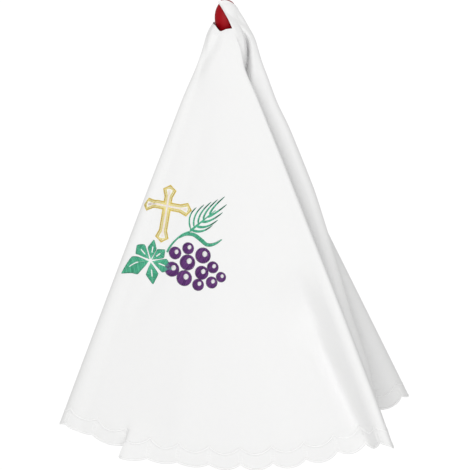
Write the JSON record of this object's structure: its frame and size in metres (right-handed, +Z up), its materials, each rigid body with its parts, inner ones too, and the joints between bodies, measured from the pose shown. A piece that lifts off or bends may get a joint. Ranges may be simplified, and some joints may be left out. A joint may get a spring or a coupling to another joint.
{
  "type": "altar cloth on a peg",
  "caption": "Round white altar cloth with a scalloped border, hung by its middle in deep folds on the knob of a red peg.",
  "frame": {"origin": "middle of the upper face of the plate that the peg hangs from", "axes": "+Z up, the embroidered front of the cloth towards -Y, +X to the right as seen from the front"},
  "size_m": [0.4752, 0.2312, 0.6519],
  "materials": {
    "linen": "matt white woven cloth",
    "border": "matt white stitched border",
    "peg_red": "glossy crimson"
  },
  "bodies": {
    "root": {"cloth": "linen", "scalloped_border": "border", "peg": "peg_red", "peg_plate": "peg_red"}
  },
  "joints": []
}
